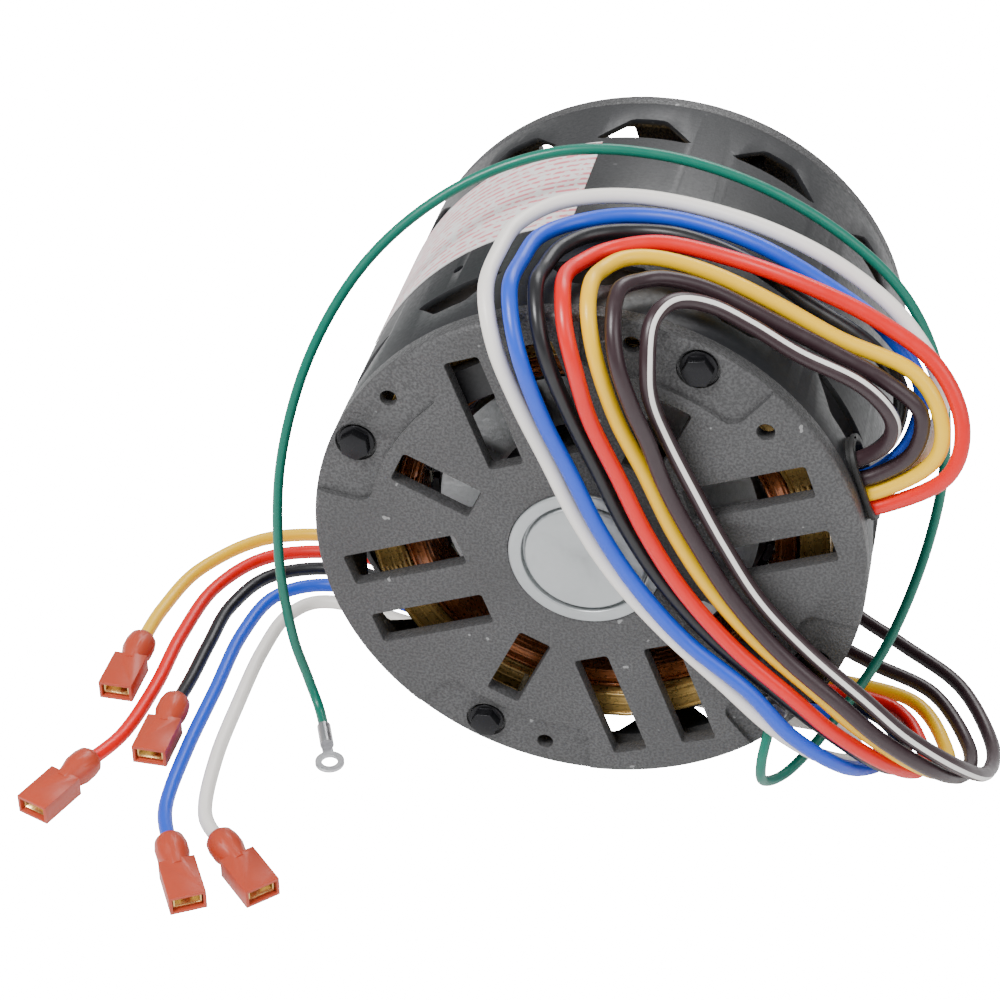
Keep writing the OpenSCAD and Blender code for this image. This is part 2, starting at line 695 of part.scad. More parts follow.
shell();
nameplate_label();
front_end_shield();
rear_end_shield();
front_bearing_cover();
rear_bearing_cover();
front_bearing();
rear_bearing();
front_oil_felt();
rear_oil_felt();
front_felt_retainer();
rear_felt_retainer();
stator_core();
slot_liners();
main_winding();
start_winding();
winding_lacing();
thermal_protector();
through_bolts();
through_bolt_nuts();
ground_screw();
lead_grommet();
shaft();
rotor_core();
rotor_cage();
thrust_washers();
oil_slinger();
lead_black();
lead_blue();
lead_red();
lead_yellow();
lead_white();
lead_brown();
lead_brown_white();
lead_green();
sleeve_black();
sleeve_blue();
sleeve_red();
sleeve_yellow();
sleeve_white();
sleeve_brown();
sleeve_brown_white();
receptacle_black();
receptacle_blue();
receptacle_red();
receptacle_yellow();
receptacle_white();
receptacle_brown();
receptacle_brown_white();
ring_terminal();
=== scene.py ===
import json
import math

import bpy
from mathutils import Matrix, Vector


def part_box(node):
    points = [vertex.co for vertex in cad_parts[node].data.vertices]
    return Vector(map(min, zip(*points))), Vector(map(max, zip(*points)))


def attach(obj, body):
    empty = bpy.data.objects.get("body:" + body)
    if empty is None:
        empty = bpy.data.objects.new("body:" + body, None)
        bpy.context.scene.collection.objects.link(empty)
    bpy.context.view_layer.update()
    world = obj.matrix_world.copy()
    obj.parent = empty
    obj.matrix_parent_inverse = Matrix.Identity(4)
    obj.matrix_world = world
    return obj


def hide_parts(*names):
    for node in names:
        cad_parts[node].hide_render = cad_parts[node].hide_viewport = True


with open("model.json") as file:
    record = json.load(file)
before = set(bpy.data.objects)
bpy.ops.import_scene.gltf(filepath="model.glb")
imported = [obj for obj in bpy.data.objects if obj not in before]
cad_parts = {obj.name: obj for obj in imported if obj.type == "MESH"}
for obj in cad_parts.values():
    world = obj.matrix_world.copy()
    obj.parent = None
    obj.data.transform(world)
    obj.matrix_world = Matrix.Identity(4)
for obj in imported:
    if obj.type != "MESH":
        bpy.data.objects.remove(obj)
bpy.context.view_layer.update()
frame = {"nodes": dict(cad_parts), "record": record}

bl_info = {
    "name": "Blower motor",
    "version": (1, 0, 0),
    "blender": (4, 5, 0),
    "location": "View3D > Sidebar > Motor",
    "description": "Builds the visible pieces of a direct-drive blower motor",
    "category": "Object",
}

NODES = frame["nodes"]
FLOOR_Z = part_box("lead_white")[0][2]
LEADS = ("black", "blue", "red", "yellow", "white", "brown", "brown_white")
ROTOR_NODES = frame["record"]["behaviour"]["bodies"]["rotor"]
SLOTS = {row["node"]: row["material_slot"] for row in frame["record"]["subparts"]}

# The camera, in metres and degrees: how far it looks down, and its turn about Z.
CAMERA_PLACE = (0.086, -0.559, 0.379)
CAMERA_DIP = 35.5
CAMERA_TURN = 12.2
CAMERA_LENS = 90
# Name, place in metres, power in watts and size in metres of each lamp.
LIGHTS = (
    ("key", (-0.5, -0.7, 1.1), 24, 0.5),
    ("fill", (0.9, -0.5, 0.7), 6, 0.8),
    ("back", (0.1, 0.9, 0.9), 9, 0.7),
)
# How brightly the floor and the world glow for the object, and where the camera sees them.
FLOOR_GLOW = 0.1
WORLD_GLOW = 0.5
SEEN_GLOW = 20.0
FLOOR_GAP = 0.0001

# Inner radius, outer radius, inner end and outer end of the end turns, in metres.
MAIN_TURNS = (0.0528, 0.0609, 0.034, 0.0487)
START_TURNS = (0.0463, 0.0522, 0.034, 0.0467)
# Width of the start winding's wire against the main winding's.
START_WIRE = 0.8

PRINT_PINK = (0.75, 0.16, 0.20, 1)
STRIPE_WHITE = (0.80, 0.78, 0.75, 1)

# The leads' routes, in metres, as in the part's source.
ROUTES = {
    "black": [
        (0.057, -0.045, 0.027), (0.067, -0.045, 0.031), (0.073, -0.043, 0.038),
        (0.073, -0.04, 0.049), (0.064, -0.036, 0.058), (0.049, -0.031, 0.064),
        (0.033, -0.026, 0.071), (0.017, -0.024, 0.075), (0.004, -0.024, 0.075),
        (-0.006, -0.028, 0.075), (-0.012, -0.036, 0.075), (-0.014, -0.046, 0.075),
        (-0.014, -0.056, 0.076), (-0.012, -0.064, 0.071), (-0.009, -0.067, 0.062),
        (-0.004, -0.066, 0.048), (0.003, -0.065, 0.032), (0.011, -0.065, 0.015),
        (0.021, -0.065, -0.001), (0.034, -0.065, -0.016), (0.049, -0.065, -0.029),
        (0.062, -0.063, -0.041), (0.075, -0.058, -0.054), (0.083, -0.047, -0.066),
        (0.085, -0.032, -0.0725), (0.075, -0.017, -0.0735), (0.052, -0.014, -0.0735),
        (0.031, -0.011, -0.0735), (0.002, -0.005, -0.0735), (-0.027, 0.002, -0.0735),
        (-0.056, 0.008, -0.0735), (-0.085, 0.016, -0.0735), (-0.106, 0.009, -0.0735),
        (-0.114, -0.008, -0.0735), (-0.115, -0.026, -0.0735), (-0.115, -0.044, -0.073),
        (-0.115, -0.058, -0.071),
    ],
    "blue": [
        (0.06, -0.045, 0.023), (0.069, -0.045, 0.026), (0.077, -0.042, 0.035),
        (0.078, -0.037, 0.048), (0.068, -0.031, 0.059), (0.053, -0.025, 0.066),
        (0.035, -0.021, 0.073), (0.017, -0.018, 0.076), (0.002, -0.018, 0.076),
        (-0.01, -0.022, 0.075), (-0.018, -0.031, 0.075), (-0.02, -0.043, 0.075),
        (-0.02, -0.058, 0.075), (-0.016, -0.068, 0.065), (-0.01, -0.069, 0.048),
        (-0.003, -0.068, 0.032), (0.005, -0.068, 0.015), (0.015, -0.068, -0.001),
        (0.028, -0.068, -0.016), (0.044, -0.069, -0.028), (0.056, -0.069, -0.041),
        (0.069, -0.063, -0.054), (0.077, -0.048, -0.066), (0.079, -0.034, -0.0725),
        (0.071, -0.021, -0.0735), (0.052, -0.019, -0.0735), (0.031, -0.017, -0.0735),
        (0.002, -0.012, -0.0735), (-0.027, -0.005, -0.0735), (-0.056, 0.001, -0.0735),
        (-0.085, 0.008, -0.0735), (-0.102, 0, -0.0735), (-0.107, -0.02, -0.0735),
        (-0.107, -0.046, -0.0735), (-0.107, -0.072, -0.0735), (-0.105, -0.096, -0.073),
        (-0.098, -0.112, -0.071),
    ],
    "red": [
        (0.062, -0.049, 0.017), (0.073, -0.049, 0.02), (0.087, -0.05, 0.031),
        (0.089, -0.046, 0.044), (0.081, -0.041, 0.057), (0.065, -0.036, 0.065),
        (0.046, -0.033, 0.071), (0.028, -0.03, 0.074), (0.012, -0.03, 0.076), (0, -0.034, 0.075),
        (-0.006, -0.042, 0.075), (-0.008, -0.05, 0.076), (-0.007, -0.059, 0.076),
        (-0.005, -0.066, 0.071), (-0.002, -0.069, 0.062), (0.002, -0.069, 0.048),
        (0.009, -0.068, 0.032), (0.017, -0.068, 0.015), (0.027, -0.068, -0.001),
        (0.04, -0.068, -0.016), (0.055, -0.068, -0.029), (0.067, -0.066, -0.041),
        (0.081, -0.06, -0.054), (0.089, -0.047, -0.066), (0.09, -0.031, -0.0725),
        (0.08, -0.013, -0.0735), (0.054, -0.009, -0.0735), (0.031, -0.006, -0.0735),
        (0.002, 0.001, -0.0735), (-0.027, 0.009, -0.0735), (-0.056, 0.016, -0.0735),
        (-0.085, 0.024, -0.0735), (-0.109, 0.018, -0.0735), (-0.121, 0, -0.0735),
        (-0.124, -0.024, -0.0735), (-0.124, -0.048, -0.0735), (-0.126, -0.07, -0.073),
        (-0.131, -0.086, -0.071),
    ],
    "yellow": [
        (0.061, -0.049, 0.021), (0.071, -0.049, 0.024), (0.083, -0.049, 0.034),
        (0.084, -0.047, 0.045), (0.076, -0.044, 0.056), (0.058, -0.041, 0.061),
        (0.042, -0.038, 0.067), (0.027, -0.036, 0.072), (0.014, -0.036, 0.075),
        (0.005, -0.039, 0.076), (0, -0.046, 0.076), (-0.001, -0.055, 0.077), (0, -0.063, 0.073),
        (0.003, -0.067, 0.063), (0.008, -0.066, 0.047), (0.015, -0.065, 0.032),
        (0.023, -0.065, 0.015), (0.033, -0.065, -0.001), (0.046, -0.065, -0.016),
        (0.061, -0.065, -0.029), (0.073, -0.063, -0.041), (0.087, -0.058, -0.054),
        (0.095, -0.046, -0.066), (0.096, -0.029, -0.0725), (0.085, -0.009, -0.0735),
        (0.058, -0.004, -0.0735), (0.031, 0, -0.0735), (0.002, 0.007, -0.0735),
        (-0.027, 0.015, -0.0735), (-0.056, 0.023, -0.0735), (-0.085, 0.032, -0.0735),
        (-0.112, 0.027, -0.0735), (-0.128, 0.008, -0.0735), (-0.133, -0.014, -0.073),
        (-0.133, -0.034, -0.071),
    ],
    "white": [
        (0.061, -0.045, 0.019), (0.071, -0.045, 0.022), (0.081, -0.042, 0.032),
        (0.083, -0.035, 0.046), (0.073, -0.027, 0.059), (0.057, -0.02, 0.068),
        (0.038, -0.015, 0.074), (0.018, -0.012, 0.077), (0, -0.012, 0.078),
        (-0.015, -0.016, 0.077), (-0.024, -0.027, 0.076), (-0.026, -0.041, 0.076),
        (-0.026, -0.057, 0.074), (-0.022, -0.066, 0.064), (-0.016, -0.066, 0.048),
        (-0.009, -0.065, 0.032), (-0.001, -0.065, 0.015), (0.009, -0.065, -0.001),
        (0.022, -0.065, -0.016), (0.037, -0.066, -0.029), (0.051, -0.067, -0.041),
        (0.063, -0.06, -0.054), (0.072, -0.048, -0.065), (0.073, -0.035, -0.0725),
        (0.066, -0.026, -0.0735), (0.05, -0.024, -0.0735), (0.031, -0.022, -0.0735),
        (0.002, -0.018, -0.0735), (-0.027, -0.012, -0.0735), (-0.056, -0.006, -0.0735),
        (-0.085, 0, -0.0735), (-0.096, -0.008, -0.0735), (-0.099, -0.026, -0.0735),
        (-0.099, -0.05, -0.0735), (-0.098, -0.074, -0.0735), (-0.094, -0.096, -0.073),
        (-0.085, -0.108, -0.071),
    ],
    "brown": [
        (0.059, -0.049, 0.025), (0.069, -0.049, 0.028), (0.078, -0.049, 0.036),
        (0.079, -0.048, 0.047), (0.07, -0.048, 0.055), (0.054, -0.045, 0.061),
        (0.04, -0.043, 0.066), (0.026, -0.043, 0.072), (0.016, -0.045, 0.075),
        (0.01, -0.049, 0.076), (0.006, -0.056, 0.077), (0.006, -0.064, 0.073),
        (0.008, -0.069, 0.065), (0.012, -0.07, 0.054), (0.016, -0.069, 0.044),
        (0.021, -0.068, 0.03), (0.029, -0.068, 0.015), (0.039, -0.068, -0.001),
        (0.052, -0.068, -0.016), (0.067, -0.068, -0.029), (0.079, -0.066, -0.041),
        (0.093, -0.06, -0.054), (0.101, -0.046, -0.066), (0.102, -0.027, -0.0725),
        (0.091, -0.005, -0.0735), (0.073, 0.005, -0.0735), (0.056, 0.016, -0.0735),
        (0.043, 0.032, -0.0735), (0.032, 0.05, -0.0735), (0.021, 0.068, -0.0735),
        (0.01, 0.082, -0.073), (0, 0.094, -0.071),
    ],
    "brown_white": [
        (0.057, -0.049, 0.029), (0.066, -0.049, 0.033), (0.072, -0.051, 0.04),
        (0.072, -0.052, 0.048), (0.064, -0.052, 0.056), (0.049, -0.05, 0.061),
        (0.037, -0.049, 0.067), (0.027, -0.05, 0.072), (0.019, -0.055, 0.075),
        (0.015, -0.062, 0.073), (0.015, -0.067, 0.065), (0.016, -0.067, 0.055),
        (0.02, -0.065, 0.043), (0.027, -0.065, 0.029), (0.035, -0.065, 0.014),
        (0.045, -0.065, -0.002), (0.058, -0.065, -0.016), (0.073, -0.065, -0.029),
        (0.085, -0.063, -0.041), (0.099, -0.057, -0.054), (0.107, -0.044, -0.066),
        (0.108, -0.024, -0.0725), (0.098, 0, -0.0735), (0.081, 0.015, -0.0735),
        (0.065, 0.028, -0.0735), (0.053, 0.044, -0.0735), (0.043, 0.06, -0.0735),
        (0.033, 0.076, -0.073), (0.022, 0.092, -0.071),
    ],
    "green": [
        (0.05, -0.064, -0.045), (0.049, -0.067, -0.054), (0.05, -0.063, -0.063),
        (0.056, -0.052, -0.067), (0.066, -0.038, -0.059), (0.077, -0.022, -0.044),
        (0.084, -0.007, -0.023), (0.086, 0.002, 0), (0.082, 0.007, 0.024), (0.071, 0.008, 0.046),
        (0.053, 0.007, 0.063), (0.03, 0.005, 0.076), (0.005, 0.004, 0.082), (-0.02, 0, 0.082),
        (-0.045, -0.006, 0.072), (-0.066, -0.014, 0.054), (-0.08, -0.024, 0.03),
        (-0.087, -0.034, 0.002), (-0.087, -0.042, -0.025), (-0.084, -0.044, -0.05),
        (-0.08, -0.044, -0.066), (-0.076, -0.048, -0.073), (-0.072, -0.057, -0.073),
    ],
}

# ---- settings --------------------------------------------------------------------------------


class MotorSizes(bpy.types.PropertyGroup):
    lead_width: bpy.props.FloatProperty(
        name="Lead width", description="Diameter of a power lead", default=0.004, unit="LENGTH"
    )
    ground_width: bpy.props.FloatProperty(
        name="Ground width", description="Diameter of the ground lead", default=0.0028,
        unit="LENGTH",
    )
    edge_round: bpy.props.FloatProperty(
        name="Edge round", description="Rounding on the cast edges", default=0.0004,
        unit="LENGTH",
    )
    wire_width: bpy.props.FloatProperty(
        name="Wire width", description="Diameter of a turn of the windings", default=0.0013,
        unit="LENGTH",
    )


class MotorColours(bpy.types.PropertyGroup):
    shell: bpy.props.FloatVectorProperty(
        name="Shell", description="Paint of the shell", subtype="COLOR",
        default=(0.012, 0.013, 0.015),
    )
    shield: bpy.props.FloatVectorProperty(
        name="End shields", description="Cast metal of the end shields", subtype="COLOR",
        default=(0.105, 0.105, 0.107),
    )
    insulator: bpy.props.FloatVectorProperty(
        name="Insulators", description="Moulded sleeves of the connectors", subtype="COLOR",
        default=(0.46, 0.055, 0.022),
    )


# ---- shared effects --------------------------------------------------------------------------


def new_group(name, inputs, outputs):
    group = bpy.data.node_groups.new(name, "ShaderNodeTree")
    for label, kind, value in inputs:
        socket = group.interface.new_socket(label, in_out="INPUT", socket_type=kind)
        if value is not None:
            socket.default_value = value
    for label, kind in outputs:
        group.interface.new_socket(label, in_out="OUTPUT", socket_type=kind)
    return group, group.nodes.new("NodeGroupInput"), group.nodes.new("NodeGroupOutput")


def add_noise(tree, vector, scale, detail=4.0):
    noise = tree.nodes.new("ShaderNodeTexNoise")
    noise.inputs["Detail"].default_value = detail
    if isinstance(scale, float):
        noise.inputs["Scale"].default_value = scale
    else:
        tree.links.new(scale, noise.inputs["Scale"])
    tree.links.new(vector, noise.inputs["Vector"])
    return noise.outputs["Fac"]


def add_range(tree, value, low, high, out_low, out_high):
    node = tree.nodes.new("ShaderNodeMapRange")
    node.inputs["From Min"].default_value = low
    node.inputs["From Max"].default_value = high
    node.inputs["To Min"].default_value = out_low
    node.inputs["To Max"].default_value = out_high
    tree.links.new(value, node.inputs["Value"])
    return node.outputs["Result"]


def add_math(tree, operation, first, second):
    node = tree.nodes.new("ShaderNodeMath")
    node.operation = operation
    tree.links.new(first, node.inputs[0])
    tree.links.new(second, node.inputs[1])
    return node.outputs["Value"]


def add_mix(tree, factor, first, second):
    mix = tree.nodes.new("ShaderNodeMix")
    mix.data_type = "RGBA"
    for value, socket in ((factor, mix.inputs[0]), (first, mix.inputs[6]), (second, mix.inputs[7])):
        if isinstance(value, bpy.types.NodeSocket):
            tree.links.new(value, socket)
        else:
            socket.default_value = value
    return mix.outputs[2]


def make_surface_group():
    """Mottled colour, small chips, uneven gloss and a fine grain, from a place on the object."""
    group, source, result = new_group(
        "Surface",
        [("Vector", "NodeSocketVector", None), ("Colour", "NodeSocketColor", (0.5, 0.5, 0.5, 1)),
         ("Chip Colour", "NodeSocketColor", (0.45, 0.45, 0.45, 1)),
         ("Grain Scale", "NodeSocketFloat", 900.0), ("Mottle", "NodeSocketFloat", 0.3),
         ("Speckle", "NodeSocketFloat", 0.0), ("Chips", "NodeSocketFloat", 0.0),
         ("Gloss", "NodeSocketFloat", 0.4)],
        [("Colour", "NodeSocketColor"), ("Roughness", "NodeSocketFloat"),
         ("Height", "NodeSocketFloat")],
    )
    place = source.outputs["Vector"]
    grain = add_noise(group, place, source.outputs["Grain Scale"], 6.0)
    cloud = add_noise(group, place, 45.0)
    dark = group.nodes.new("ShaderNodeHueSaturation")
    dark.inputs["Value"].default_value = 0.55
    group.links.new(source.outputs["Colour"], dark.inputs["Color"])
    blotch = add_math(group, "MULTIPLY", add_range(group, cloud, 0.35, 0.7, 0.0, 1.0),
                      source.outputs["Mottle"])
    mottled = add_mix(group, blotch, source.outputs["Colour"], dark.outputs["Color"])
    pits = add_math(group, "MULTIPLY", add_range(group, grain, 0.42, 0.58, 0.0, 1.0),
                    source.outputs["Speckle"])
    pitted = add_mix(group, pits, mottled, dark.outputs["Color"])
    speck = add_noise(group, place, 260.0, 2.0)
    chips = add_math(group, "MULTIPLY", add_range(group, speck, 0.74, 0.77, 0.0, 1.0),
                     source.outputs["Chips"])
    chipped = add_mix(group, chips, pitted, source.outputs["Chip Colour"])
    rough = add_math(group, "ADD", source.outputs["Gloss"],
                     add_range(group, grain, 0.3, 0.7, -0.07, 0.07))
    group.links.new(chipped, result.inputs["Colour"])
    group.links.new(rough, result.inputs["Roughness"])
    group.links.new(grain, result.inputs["Height"])
    return group


def make_rows_group():
    """Faint broken rows across a label, with no letters in them."""
    group, source, result = new_group(
        "Printed rows", [("Vector", "NodeSocketVector", None)], [("Mask", "NodeSocketFloat")]
    )
    waves = group.nodes.new("ShaderNodeTexWave")
    waves.bands_direction = "Y"
    waves.inputs["Scale"].default_value = 110.0
    group.links.new(source.outputs["Vector"], waves.inputs["Vector"])
    breaks = add_range(group, add_noise(group, source.outputs["Vector"], 500.0), 0.42, 0.5, 0, 1)
    rows = add_range(group, waves.outputs["Fac"], 0.5, 0.7, 0.0, 0.9)
    group.links.new(add_math(group, "MULTIPLY", rows, breaks), result.inputs["Mask"])
    return group


def finish_material(name, colour, metallic=0.0, gloss=0.4, grain=900.0, bump=0.1, mottle=0.3,
                    chips=0.0, speckle=0.0, coat=0.0, soft=0.0, stretch=(1, 1, 1), rows=False,
                    stripe=False):
    """A material of the shared surface effect with its own values."""
    material = bpy.data.materials.new(name)
    material.use_nodes = True
    tree = material.node_tree
    shader = tree.nodes["Principled BSDF"]
    place = tree.nodes.new("ShaderNodeTexCoord")
    mapping = tree.nodes.new("ShaderNodeMapping")
    mapping.inputs["Scale"].default_value = stretch
    tree.links.new(place.outputs["Object"], mapping.inputs["Vector"])
    surface = tree.nodes.new("ShaderNodeGroup")
    surface.node_tree = bpy.data.node_groups["Surface"]
    tree.links.new(mapping.outputs["Vector"], surface.inputs["Vector"])
    surface.inputs["Colour"].default_value = (*colour, 1)
    surface.inputs["Grain Scale"].default_value = grain
    surface.inputs["Mottle"].default_value = mottle
    surface.inputs["Speckle"].default_value = speckle
    surface.inputs["Chips"].default_value = chips
    surface.inputs["Gloss"].default_value = gloss
    base = surface.outputs["Colour"]
    if rows:
        printed = tree.nodes.new("ShaderNodeGroup")
        printed.node_tree = bpy.data.node_groups["Printed rows"]
        tree.links.new(place.outputs["Object"], printed.inputs["Vector"])
        base = add_mix(tree, printed.outputs["Mask"], base, PRINT_PINK)
    if stripe:
        split = tree.nodes.new("ShaderNodeSeparateXYZ")
        tree.links.new(place.outputs["UV"], split.inputs["Vector"])
        start = add_range(tree, split.outputs["Y"], 0.57, 0.58, 0.0, 1.0)
        end = add_range(tree, split.outputs["Y"], 0.67, 0.68, 1.0, 0.0)
        base = add_mix(tree, add_math(tree, "MULTIPLY", start, end), base, STRIPE_WHITE)
    tree.links.new(base, shader.inputs["Base Color"])
    tree.links.new(surface.outputs["Roughness"], shader.inputs["Roughness"])
    shader.inputs["Metallic"].default_value = metallic
    shader.inputs["Coat Weight"].default_value = coat
    shader.inputs["Subsurface Weight"].default_value = soft
    shader.inputs["Subsurface Scale"].default_value = 0.002
    relief = tree.nodes.new("ShaderNodeBump")
    relief.inputs["Strength"].default_value = bump
    relief.inputs["Distance"].default_value = 0.0003
    tree.links.new(surface.outputs["Height"], relief.inputs["Height"])
    tree.links.new(relief.outputs["Normal"], shader.inputs["Normal"])
    return material


def make_materials():
    """One material for each material slot of the record."""
    make_surface_group()
    make_rows_group()
    tint = bpy.context.scene.motor_colours
    steel = dict(metallic=1.0, gloss=0.32, grain=700.0, mottle=0.25)
    wire = dict(gloss=0.36, grain=300.0, bump=0.05, mottle=0.1, coat=0.05)
    looks = {
        "shell_paint": dict(colour=tint.shell, gloss=0.42, chips=0.1, mottle=0.3),
        "label_film": dict(colour=(0.80, 0.78, 0.77), gloss=0.4, rows=True, mottle=0.1),
        "cast_shield": dict(colour=tint.shield, metallic=0.45, gloss=0.5, grain=1500.0,
                            bump=1.0, mottle=0.45, speckle=0.8, chips=0.5),
        "zinc_cover": dict(colour=(0.46, 0.48, 0.485), metallic=0.75, gloss=0.42, mottle=0.3,
                           chips=0.2),
        "bearing_bronze": dict(colour=(0.50, 0.27, 0.10), metallic=1.0, gloss=0.5),
        "oil_felt": dict(colour=(0.58, 0.50, 0.34), gloss=0.9, grain=1600.0, bump=0.8),
        "plain_steel": dict(colour=(0.42, 0.42, 0.43), **steel),
        "core_steel": dict(colour=(0.10, 0.10, 0.11), metallic=0.8, gloss=0.5,
                           stretch=(0.1, 4, 0.1), bump=0.6),
        "slot_film": dict(colour=(0.60, 0.62, 0.50), gloss=0.35),
        "main_wire": dict(colour=(0.62, 0.40, 0.12), metallic=0.4, gloss=0.3, coat=0.5),
        "start_wire": dict(colour=(0.42, 0.13, 0.035), metallic=0.6, gloss=0.3, coat=0.5),
        "lacing_cord": dict(colour=(0.62, 0.52, 0.32), gloss=0.7, grain=1500.0, bump=0.7),
        "black_plastic": dict(colour=(0.012, 0.012, 0.014), gloss=0.45),
        "black_steel": dict(colour=(0.010, 0.010, 0.012), metallic=0.6, gloss=0.32, mottle=0.4),
        "bushing_rubber": dict(colour=(0.010, 0.010, 0.010), gloss=0.6, bump=0.3),
        "shaft_steel": dict(colour=(0.55, 0.56, 0.57), metallic=1.0, gloss=0.22,
                            stretch=(1, 30, 1)),
        "cast_rotor": dict(colour=(0.50, 0.51, 0.52), metallic=0.9, gloss=0.45, bump=0.4),
        "washer_plastic": dict(colour=(0.50, 0.38, 0.18), gloss=0.5),
        "insulator": dict(colour=tint.insulator, gloss=0.36, soft=0.1, mottle=0.2),
        "terminal_brass": dict(colour=(0.70, 0.50, 0.20), metallic=1.0, gloss=0.25),
        "terminal_tin": dict(colour=(0.62, 0.62, 0.64), **steel),
        "wire_black": dict(colour=(0.008, 0.008, 0.010), **wire),
        "wire_blue": dict(colour=(0.01, 0.07, 0.62), **wire),
        "wire_red": dict(colour=(0.76, 0.0, 0.0), **wire),
        "wire_yellow": dict(colour=(0.95, 0.56, 0.0), **wire),
        "wire_white": dict(colour=(0.88, 0.84, 0.79), **wire),
        "wire_brown": dict(colour=(0.028, 0.013, 0.017), **wire),
        "wire_brown_white": dict(colour=(0.032, 0.016, 0.020), stripe=True, **wire),
        "wire_green": dict(colour=(0.0, 0.15, 0.10), **wire),
    }
    return {slot: finish_material(slot + "_finish", **look) for slot, look in looks.items()}


# ---- making pieces ---------------------------------------------------------------------------


def deselect():
    bpy.ops.object.select_all(action="DESELECT")


def activate(piece):
    deselect()
    piece.select_set(True)
    bpy.context.view_layer.objects.active = piece


def apply_modifiers(piece):
    activate(piece)
    for modifier in list(piece.modifiers):
        bpy.ops.object.modifier_apply(modifier=modifier.name)


def dress(piece, node):
    """Gives a piece its node's finish, body and slot, and hides the node."""
    piece.data.materials.clear()
    piece.data.materials.append(bpy.data.materials[SLOTS[node] + "_finish"])
    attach(piece, "rotor" if node in ROTOR_NODES else "stator")
    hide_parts(node)


def round_edges(node, width, segments=2):
    """A merged copy of a node with its sharp edges rounded."""
    piece = NODES[node].copy()
    piece.data = NODES[node].data.copy()
    piece.parent = None
    piece.name = node + "_rounded"
    bpy.context.scene.collection.objects.link(piece)
    activate(piece)
    bpy.ops.object.mode_set(mode="EDIT")
    bpy.ops.mesh.select_all(action="SELECT")
    bpy.ops.mesh.remove_doubles(threshold=0.000002)
    bpy.ops.mesh.dissolve_limited(angle_limit=math.radians(1))
    bpy.ops.object.mode_set(mode="OBJECT")
    bevel = piece.modifiers.new("Bevel", "BEVEL")
    bevel.width = width
    bevel.segments = segments
    bevel.limit_method = "ANGLE"
    bevel.angle_limit = math.radians(35)
    bevel.use_clamp_overlap = True
    apply_modifiers(piece)
    bpy.ops.object.shade_smooth_by_angle(angle=math.radians(35))
    dress(piece, node)
    return piece


def add_turn(radius, y, width):
    bpy.ops.mesh.primitive_torus_add(
        major_segments=72, minor_segments=6, major_radius=radius, minor_radius=width / 2,
        location=(0, y, 0), rotation=(math.pi / 2, 0, 0),
    )
    return bpy.context.object


def wind(node, r_in, r_out, y_in, y_out, width):
    """The end turns of a winding as rings of wire, with a slight wave round them."""
    turns = []
    deselect()
    rows = int((y_out - y_in) / width)
    for side in (-1, 1):
        for row in range(rows):
            y = side * (y_out - width / 2 - row * width)
            turns.append(add_turn(r_out - width * (0.6 + 0.5 * (row % 2)), y, width))
            turns.append(add_turn(r_in + width * (0.6 + 0.5 * (row % 2)), y, width))
        count = int((r_out - r_in) / width) - 2
        for step in range(1, count):
            lift = (step % 2) * width * 0.4
            turns.append(add_turn(r_in + width * (step + 0.8), side * (y_out - width / 2 - lift),
                                  width))
    deselect()
    for turn in turns:
        turn.select_set(True)
    bpy.context.view_layer.objects.active = turns[0]
    bpy.ops.object.join()
    piece = bpy.context.object
    piece.name = node + "_turns"
    bpy.ops.object.transform_apply(location=True, rotation=True, scale=True)
    for vertex in piece.data.vertices:
        angle = math.atan2(vertex.co.z, vertex.co.x)
        wave = 1 + 0.004 * math.sin(7 * angle) + 0.003 * math.sin(31 * angle + 900 * vertex.co.y)
        vertex.co.x *= wave
        vertex.co.z *= wave
    bpy.ops.object.shade_smooth()
    piece.data.materials.append(bpy.data.materials[SLOTS[node] + "_finish"])
    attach(piece, "stator")
    return piece


def lay_lead(name, points, width):
    """A lead as one smooth curve through its points."""
    data = bpy.data.curves.new("lead_" + name + "_wire", "CURVE")
    data.dimensions = "3D"
    data.bevel_depth = width / 2
    data.bevel_resolution = 4
    data.resolution_u = 8
    data.use_fill_caps = True
    spline = data.splines.new("BEZIER")
    spline.bezier_points.add(len(points) - 1)
    last = len(points) - 1
    for index, place in enumerate(points):
        step = (Vector(points[min(index + 1, last)]) - Vector(points[max(index - 1, 0)])) / 6
        knot = spline.bezier_points[index]
        knot.co = place
        knot.handle_left = Vector(place) - step
        knot.handle_right = Vector(place) + step
    piece = bpy.data.objects.new("lead_" + name + "_wire", data)
    bpy.context.scene.collection.objects.link(piece)
    dress(piece, "lead_" + name)
    return piece


def seen_glow(tree, lighting, seen):
    """A strength of lighting for the light it gives, and of seen where the camera looks at it."""
    sight = tree.nodes.new("ShaderNodeLightPath")
    return add_range(tree, sight.outputs["Is Camera Ray"], 0, 1, lighting, seen)


# ---- operators -------------------------------------------------------------------------------


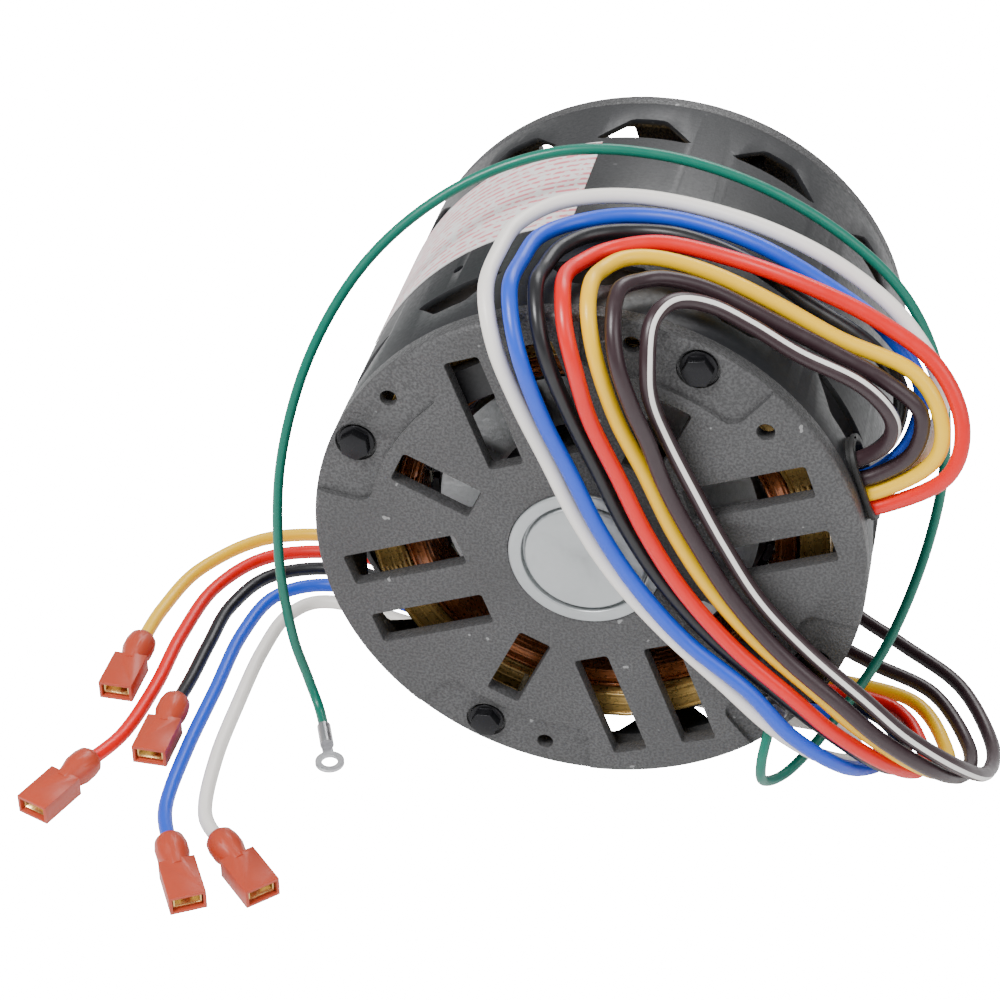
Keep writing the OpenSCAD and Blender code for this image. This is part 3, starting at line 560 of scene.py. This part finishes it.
class MOTOR_OT_stage(bpy.types.Operator):
    """Add the camera, the floor and the lights"""
    bl_idname = "motor.stage"
    bl_label = "Stage"

    def execute(self, context):
        data = bpy.data.cameras.new("Camera")
        data.lens = CAMERA_LENS
        data.sensor_width = 36
        camera = bpy.data.objects.new("Camera", data)
        camera.location = CAMERA_PLACE
        camera.rotation_euler = (math.radians(90 - CAMERA_DIP), 0, math.radians(CAMERA_TURN))
        context.scene.collection.objects.link(camera)
        context.scene.camera = camera
        deselect()
        bpy.ops.mesh.primitive_plane_add(size=6, location=(0, 0, FLOOR_Z - FLOOR_GAP))
        floor = context.object
        floor.name = "floor"
        pale = bpy.data.materials.new("pale_floor")
        pale.use_nodes = True
        shader = pale.node_tree.nodes["Principled BSDF"]
        shader.inputs["Emission Color"].default_value = (1, 1, 1, 1)
        glow = seen_glow(pale.node_tree, FLOOR_GLOW, SEEN_GLOW)
        pale.node_tree.links.new(glow, shader.inputs["Emission Strength"])
        shader.inputs["Base Color"].default_value = (0.92, 0.92, 0.92, 1)
        shader.inputs["Roughness"].default_value = 0.7
        floor.data.materials.append(pale)
        world = bpy.data.worlds.new("Studio")
        world.use_nodes = True
        sky = world.node_tree.nodes["Background"]
        sky.inputs["Color"].default_value = (1, 1, 1, 1)
        glow = seen_glow(world.node_tree, WORLD_GLOW, SEEN_GLOW)
        world.node_tree.links.new(glow, sky.inputs["Strength"])
        context.scene.world = world
        for name, place, power, size in LIGHTS:
            light = bpy.data.lights.new(name, "AREA")
            light.energy = power
            light.size = size
            lamp = bpy.data.objects.new(name, light)
            lamp.location = place
            lamp.rotation_euler = (-Vector(place)).to_track_quat("-Z", "Y").to_euler()
            context.scene.collection.objects.link(lamp)
        return {"FINISHED"}


class MOTOR_OT_finishes(bpy.types.Operator):
    """Give every part its finish"""
    bl_idname = "motor.finishes"
    bl_label = "Finishes"

    def execute(self, context):
        materials = make_materials()
        for node, slot in SLOTS.items():
            NODES[node].data.materials.clear()
            NODES[node].data.materials.append(materials[slot])
        return {"FINISHED"}


class MOTOR_OT_leads(bpy.types.Operator):
    """Lay the leads along their routes"""
    bl_idname = "motor.leads"
    bl_label = "Leads"

    def execute(self, context):
        sizes = context.scene.motor_sizes
        for name in LEADS:
            wire = lay_lead(name, ROUTES[name], sizes.lead_width)
        wire = lay_lead("green", ROUTES["green"], sizes.ground_width)
        return {"FINISHED"}


class MOTOR_OT_terminals(bpy.types.Operator):
    """Round the connectors on the leads' far ends"""
    bl_idname = "motor.terminals"
    bl_label = "Terminals"

    def execute(self, context):
        for name in LEADS:
            round_edges("sleeve_" + name, 0.0005)
            round_edges("receptacle_" + name, 0.00015, 1)
        round_edges("ring_terminal", 0.0002, 1)
        return {"FINISHED"}


class MOTOR_OT_housing(bpy.types.Operator):
    """Round the edges of the housing and its fixings"""
    bl_idname = "motor.housing"
    bl_label = "Housing"

    def execute(self, context):
        width = context.scene.motor_sizes.edge_round
        for node in ("front_end_shield", "rear_end_shield", "front_bearing_cover",
                     "rear_bearing_cover", "lead_grommet"):
            round_edges(node, width)
        for node in ("through_bolts", "through_bolt_nuts", "ground_screw", "shell"):
            round_edges(node, 0.0002)
        return {"FINISHED"}


class MOTOR_OT_windings(bpy.types.Operator):
    """Lay rings of wire over the windings' end turns"""
    bl_idname = "motor.windings"
    bl_label = "Windings"

    def execute(self, context):
        wire = context.scene.motor_sizes.wire_width
        wind("main_winding", *MAIN_TURNS, wire)
        wind("start_winding", *START_TURNS, wire * START_WIRE)
        return {"FINISHED"}


class MOTOR_PT_panel(bpy.types.Panel):
    """Lists the motor's build steps as buttons"""
    bl_label = "Blower motor"
    bl_space_type = "VIEW_3D"
    bl_region_type = "UI"
    bl_category = "Motor"

    def draw(self, context):
        for name in STEPS:
            self.layout.operator("motor." + name)


CLASSES = (MotorSizes, MotorColours, MOTOR_OT_stage, MOTOR_OT_finishes, MOTOR_OT_leads,
           MOTOR_OT_terminals, MOTOR_OT_housing, MOTOR_OT_windings, MOTOR_PT_panel)
STEPS = ("stage", "finishes", "terminals", "leads", "housing", "windings")


def register():
    for kind in CLASSES:
        bpy.utils.register_class(kind)
    bpy.types.Scene.motor_sizes = bpy.props.PointerProperty(type=MotorSizes)
    bpy.types.Scene.motor_colours = bpy.props.PointerProperty(type=MotorColours)


def unregister():
    del bpy.types.Scene.motor_colours
    del bpy.types.Scene.motor_sizes
    for kind in reversed(CLASSES):
        bpy.utils.unregister_class(kind)


def main():
    register()
    for name in STEPS:
        getattr(bpy.ops.motor, name)()


if __name__ == "__main__":
    main()
